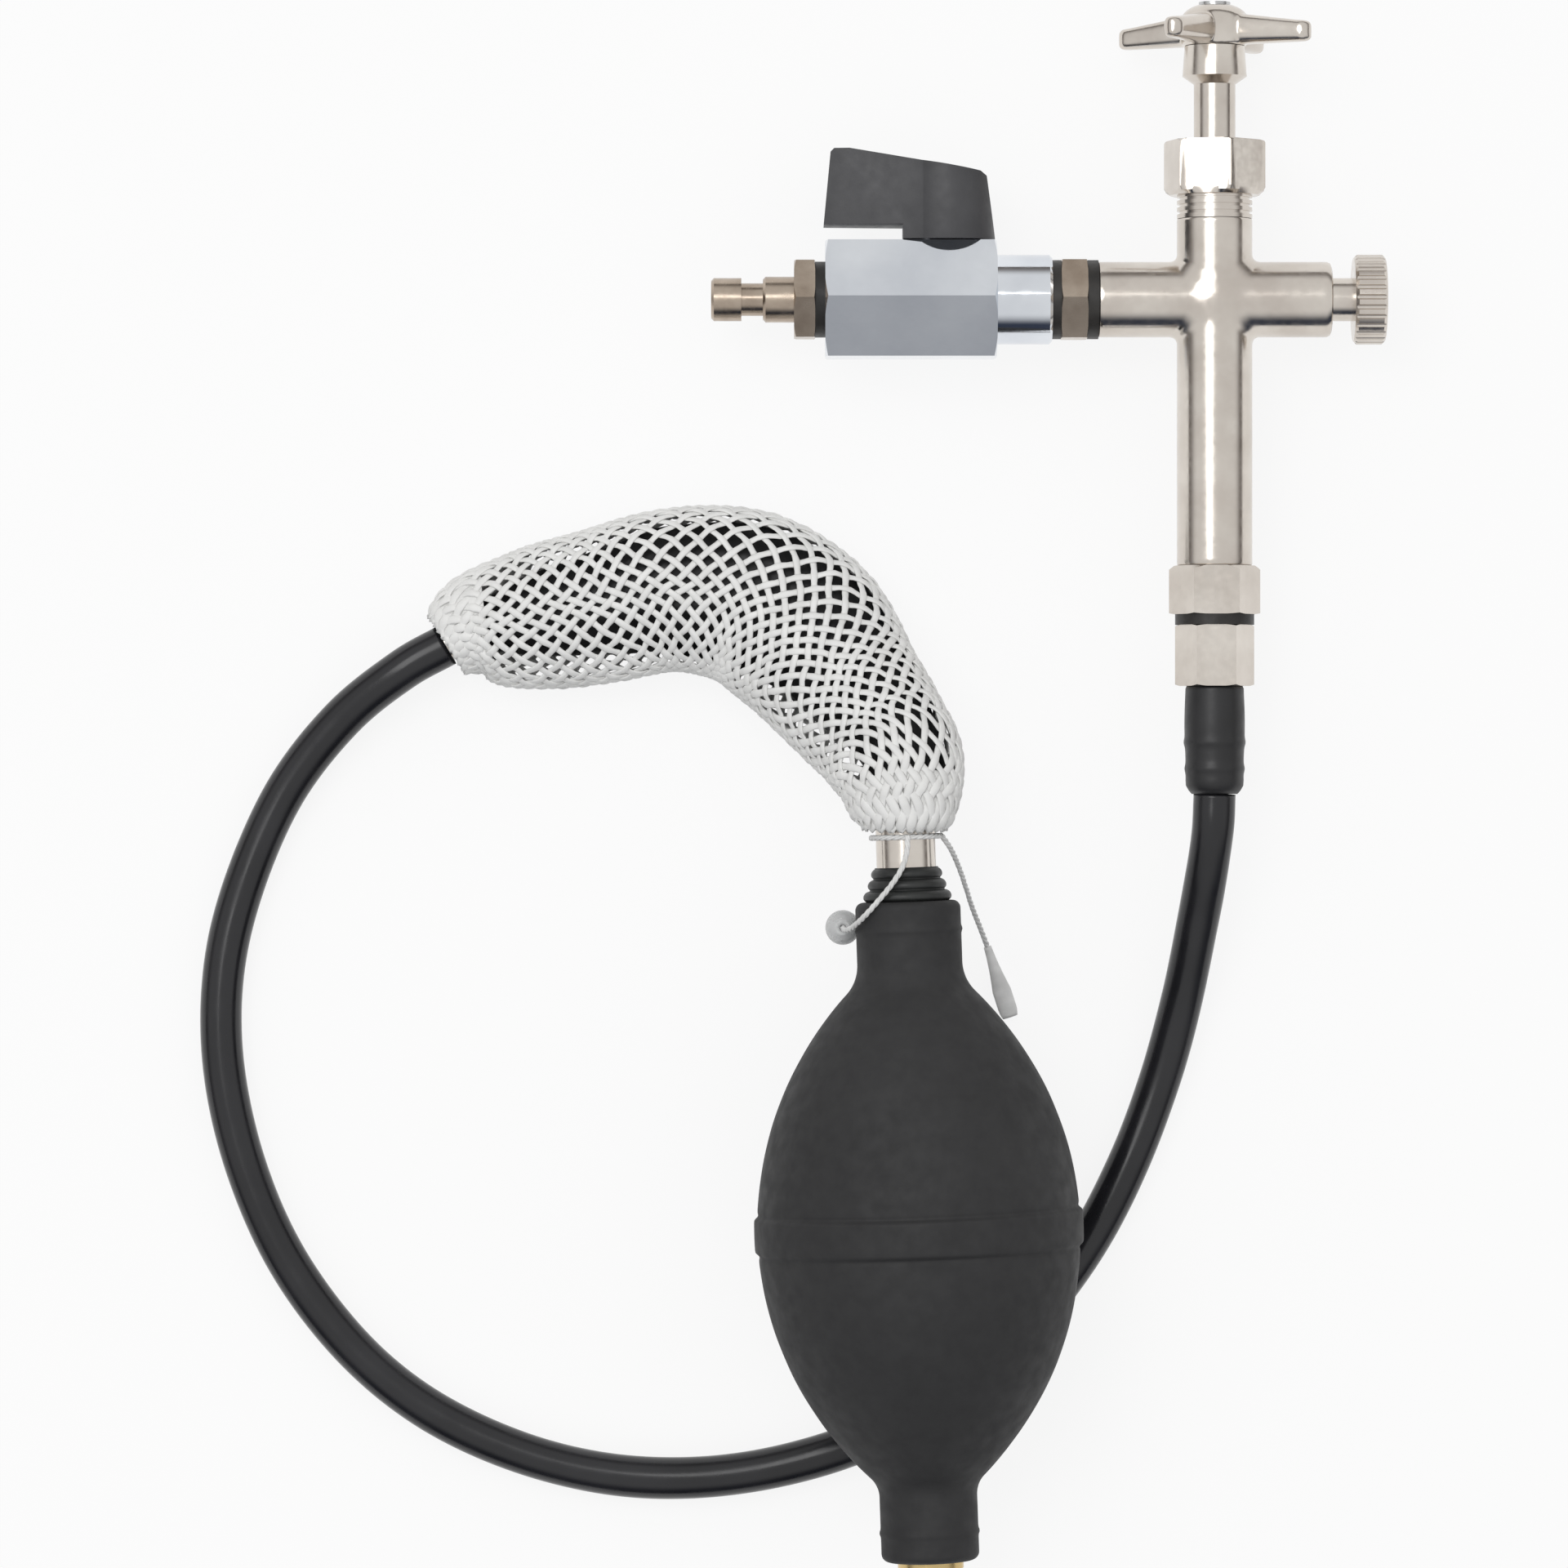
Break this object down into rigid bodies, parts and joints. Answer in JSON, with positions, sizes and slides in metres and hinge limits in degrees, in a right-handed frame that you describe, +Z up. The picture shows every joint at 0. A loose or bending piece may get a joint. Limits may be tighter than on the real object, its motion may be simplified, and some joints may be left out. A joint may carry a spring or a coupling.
{
  "type": "hand vacuum pump",
  "caption": "Squeeze-bulb hand pump with check valves, netted bladder, hose and a four-way nickel-plated cross with ball valve, screw valve, vent plug and quick plug.",
  "frame": {"origin": "on the surface the pump lies on, under the middle of the pump without its hose and drawstring ends", "axes": "+Z up; the bulb lies along Y with its inlet towards -Y; the quick plug points to -X and the cross handle to +Y"},
  "size_m": [0.2259, 0.2965, 0.062],
  "materials": {
    "bulb_rubber": "matte moulded rubber",
    "black_rubber": "satin moulded rubber",
    "bladder_rubber": "thin matte rubber",
    "hose_rubber": "glossy extruded rubber",
    "seal_rubber": "satin rubber",
    "white_net": "knitted nylon",
    "white_string": "nylon cord",
    "clear_bead": "milky, smooth",
    "nickel": "nickel plate, bright satin",
    "chrome": "bright chrome plate",
    "steel": "plain",
    "brass": "turned brass",
    "ptfe": "plain",
    "lever_plastic": "charcoal, fine texture"
  },
  "bodies": {
    "frame": {"squeeze_bulb": "bulb_rubber", "inlet_valve_body": "brass", "inlet_ball_stop": "brass", "inlet_filter": "steel", "outlet_bushing": "black_rubber", "connector_tube": "nickel", "outlet_ball_stop": "nickel", "bladder": "bladder_rubber", "net_bag": "white_net", "bladder_joiner": "nickel", "drawstring_loop": "white_string", "drawstring_front": "white_string", "drawstring_back": "white_string", "drawstring_bead": "clear_bead", "drawstring_tag": "white_string", "hose": "hose_rubber", "hose_cuff": "hose_rubber", "hose_barb": "nickel", "hose_seal": "seal_rubber", "tube_end_nut": "nickel", "cross_body": "nickel", "seal_ring_a": "seal_rubber", "double_nipple": "nickel", "seal_ring_b": "seal_rubber", "valve_end": "chrome", "valve_body": "chrome", "ball_seat_left": "ptfe", "ball_seat_right": "ptfe", "stem_packing": "ptfe", "plug_seal": "seal_rubber", "plug_nipple": "nickel", "bonnet": "nickel", "spindle_packing": "ptfe", "packing_nut": "nickel"},
    "lever_set": {"lever": "lever_plastic", "lever_screw": "steel", "valve_stem": "nickel", "valve_ball": "chrome"},
    "jumper_set": {"jumper": "brass", "jumper_washer": "seal_rubber"},
    "spindle_set": {"spindle": "nickel", "cross_handle": "nickel", "handle_screw": "steel"},
    "vent_seal": {"vent_washer": "seal_rubber"},
    "vent_screw": {"vent_plug": "nickel"},
    "inlet_check": {"inlet_ball": "steel"},
    "outlet_check": {"outlet_ball": "steel"}
  },
  "joints": [
    {"name": "lever_turn", "type": "hinge", "parent": "frame", "child": "lever_set", "pos_m": [0.0105, 0.0918, 0.0178], "axis": [0, 1, 0], "range_deg": [0, 90]},
    {"name": "spindle_lift", "type": "slide", "parent": "frame", "child": "jumper_set", "axis": [0, 1, 0], "range_m": [0, 0.003]},
    {"name": "spindle_turn", "type": "hinge", "parent": "jumper_set", "child": "spindle_set", "pos_m": [0.0609, 0.1318, 0.0178], "axis": [0, 1, 0], "range_deg": [0, 1081]},
    {"name": "vent_travel", "type": "slide", "parent": "frame", "child": "vent_seal", "axis": [1, 0, 0], "range_m": [0, 0.002]},
    {"name": "vent_turn", "type": "hinge", "parent": "vent_seal", "child": "vent_screw", "pos_m": [0.0809, 0.0918, 0.0178], "axis": [1, 0, 0], "range_deg": [0, 721]},
    {"name": "inlet_ball_travel", "type": "slide", "parent": "frame", "child": "inlet_check", "axis": [-0.0349, 0.9994, 0], "range_m": [0, 0.0015]},
    {"name": "outlet_ball_travel", "type": "slide", "parent": "frame", "child": "outlet_check", "axis": [-0.0349, 0.9994, 0], "range_m": [0, 0.0015]}
  ],
  "couplings": [
    {"joint": "spindle_turn", "follows": "spindle_lift", "rad_per_m": 6283.2},
    {"joint": "vent_turn", "follows": "vent_travel", "rad_per_m": 6283.2}
  ]
}
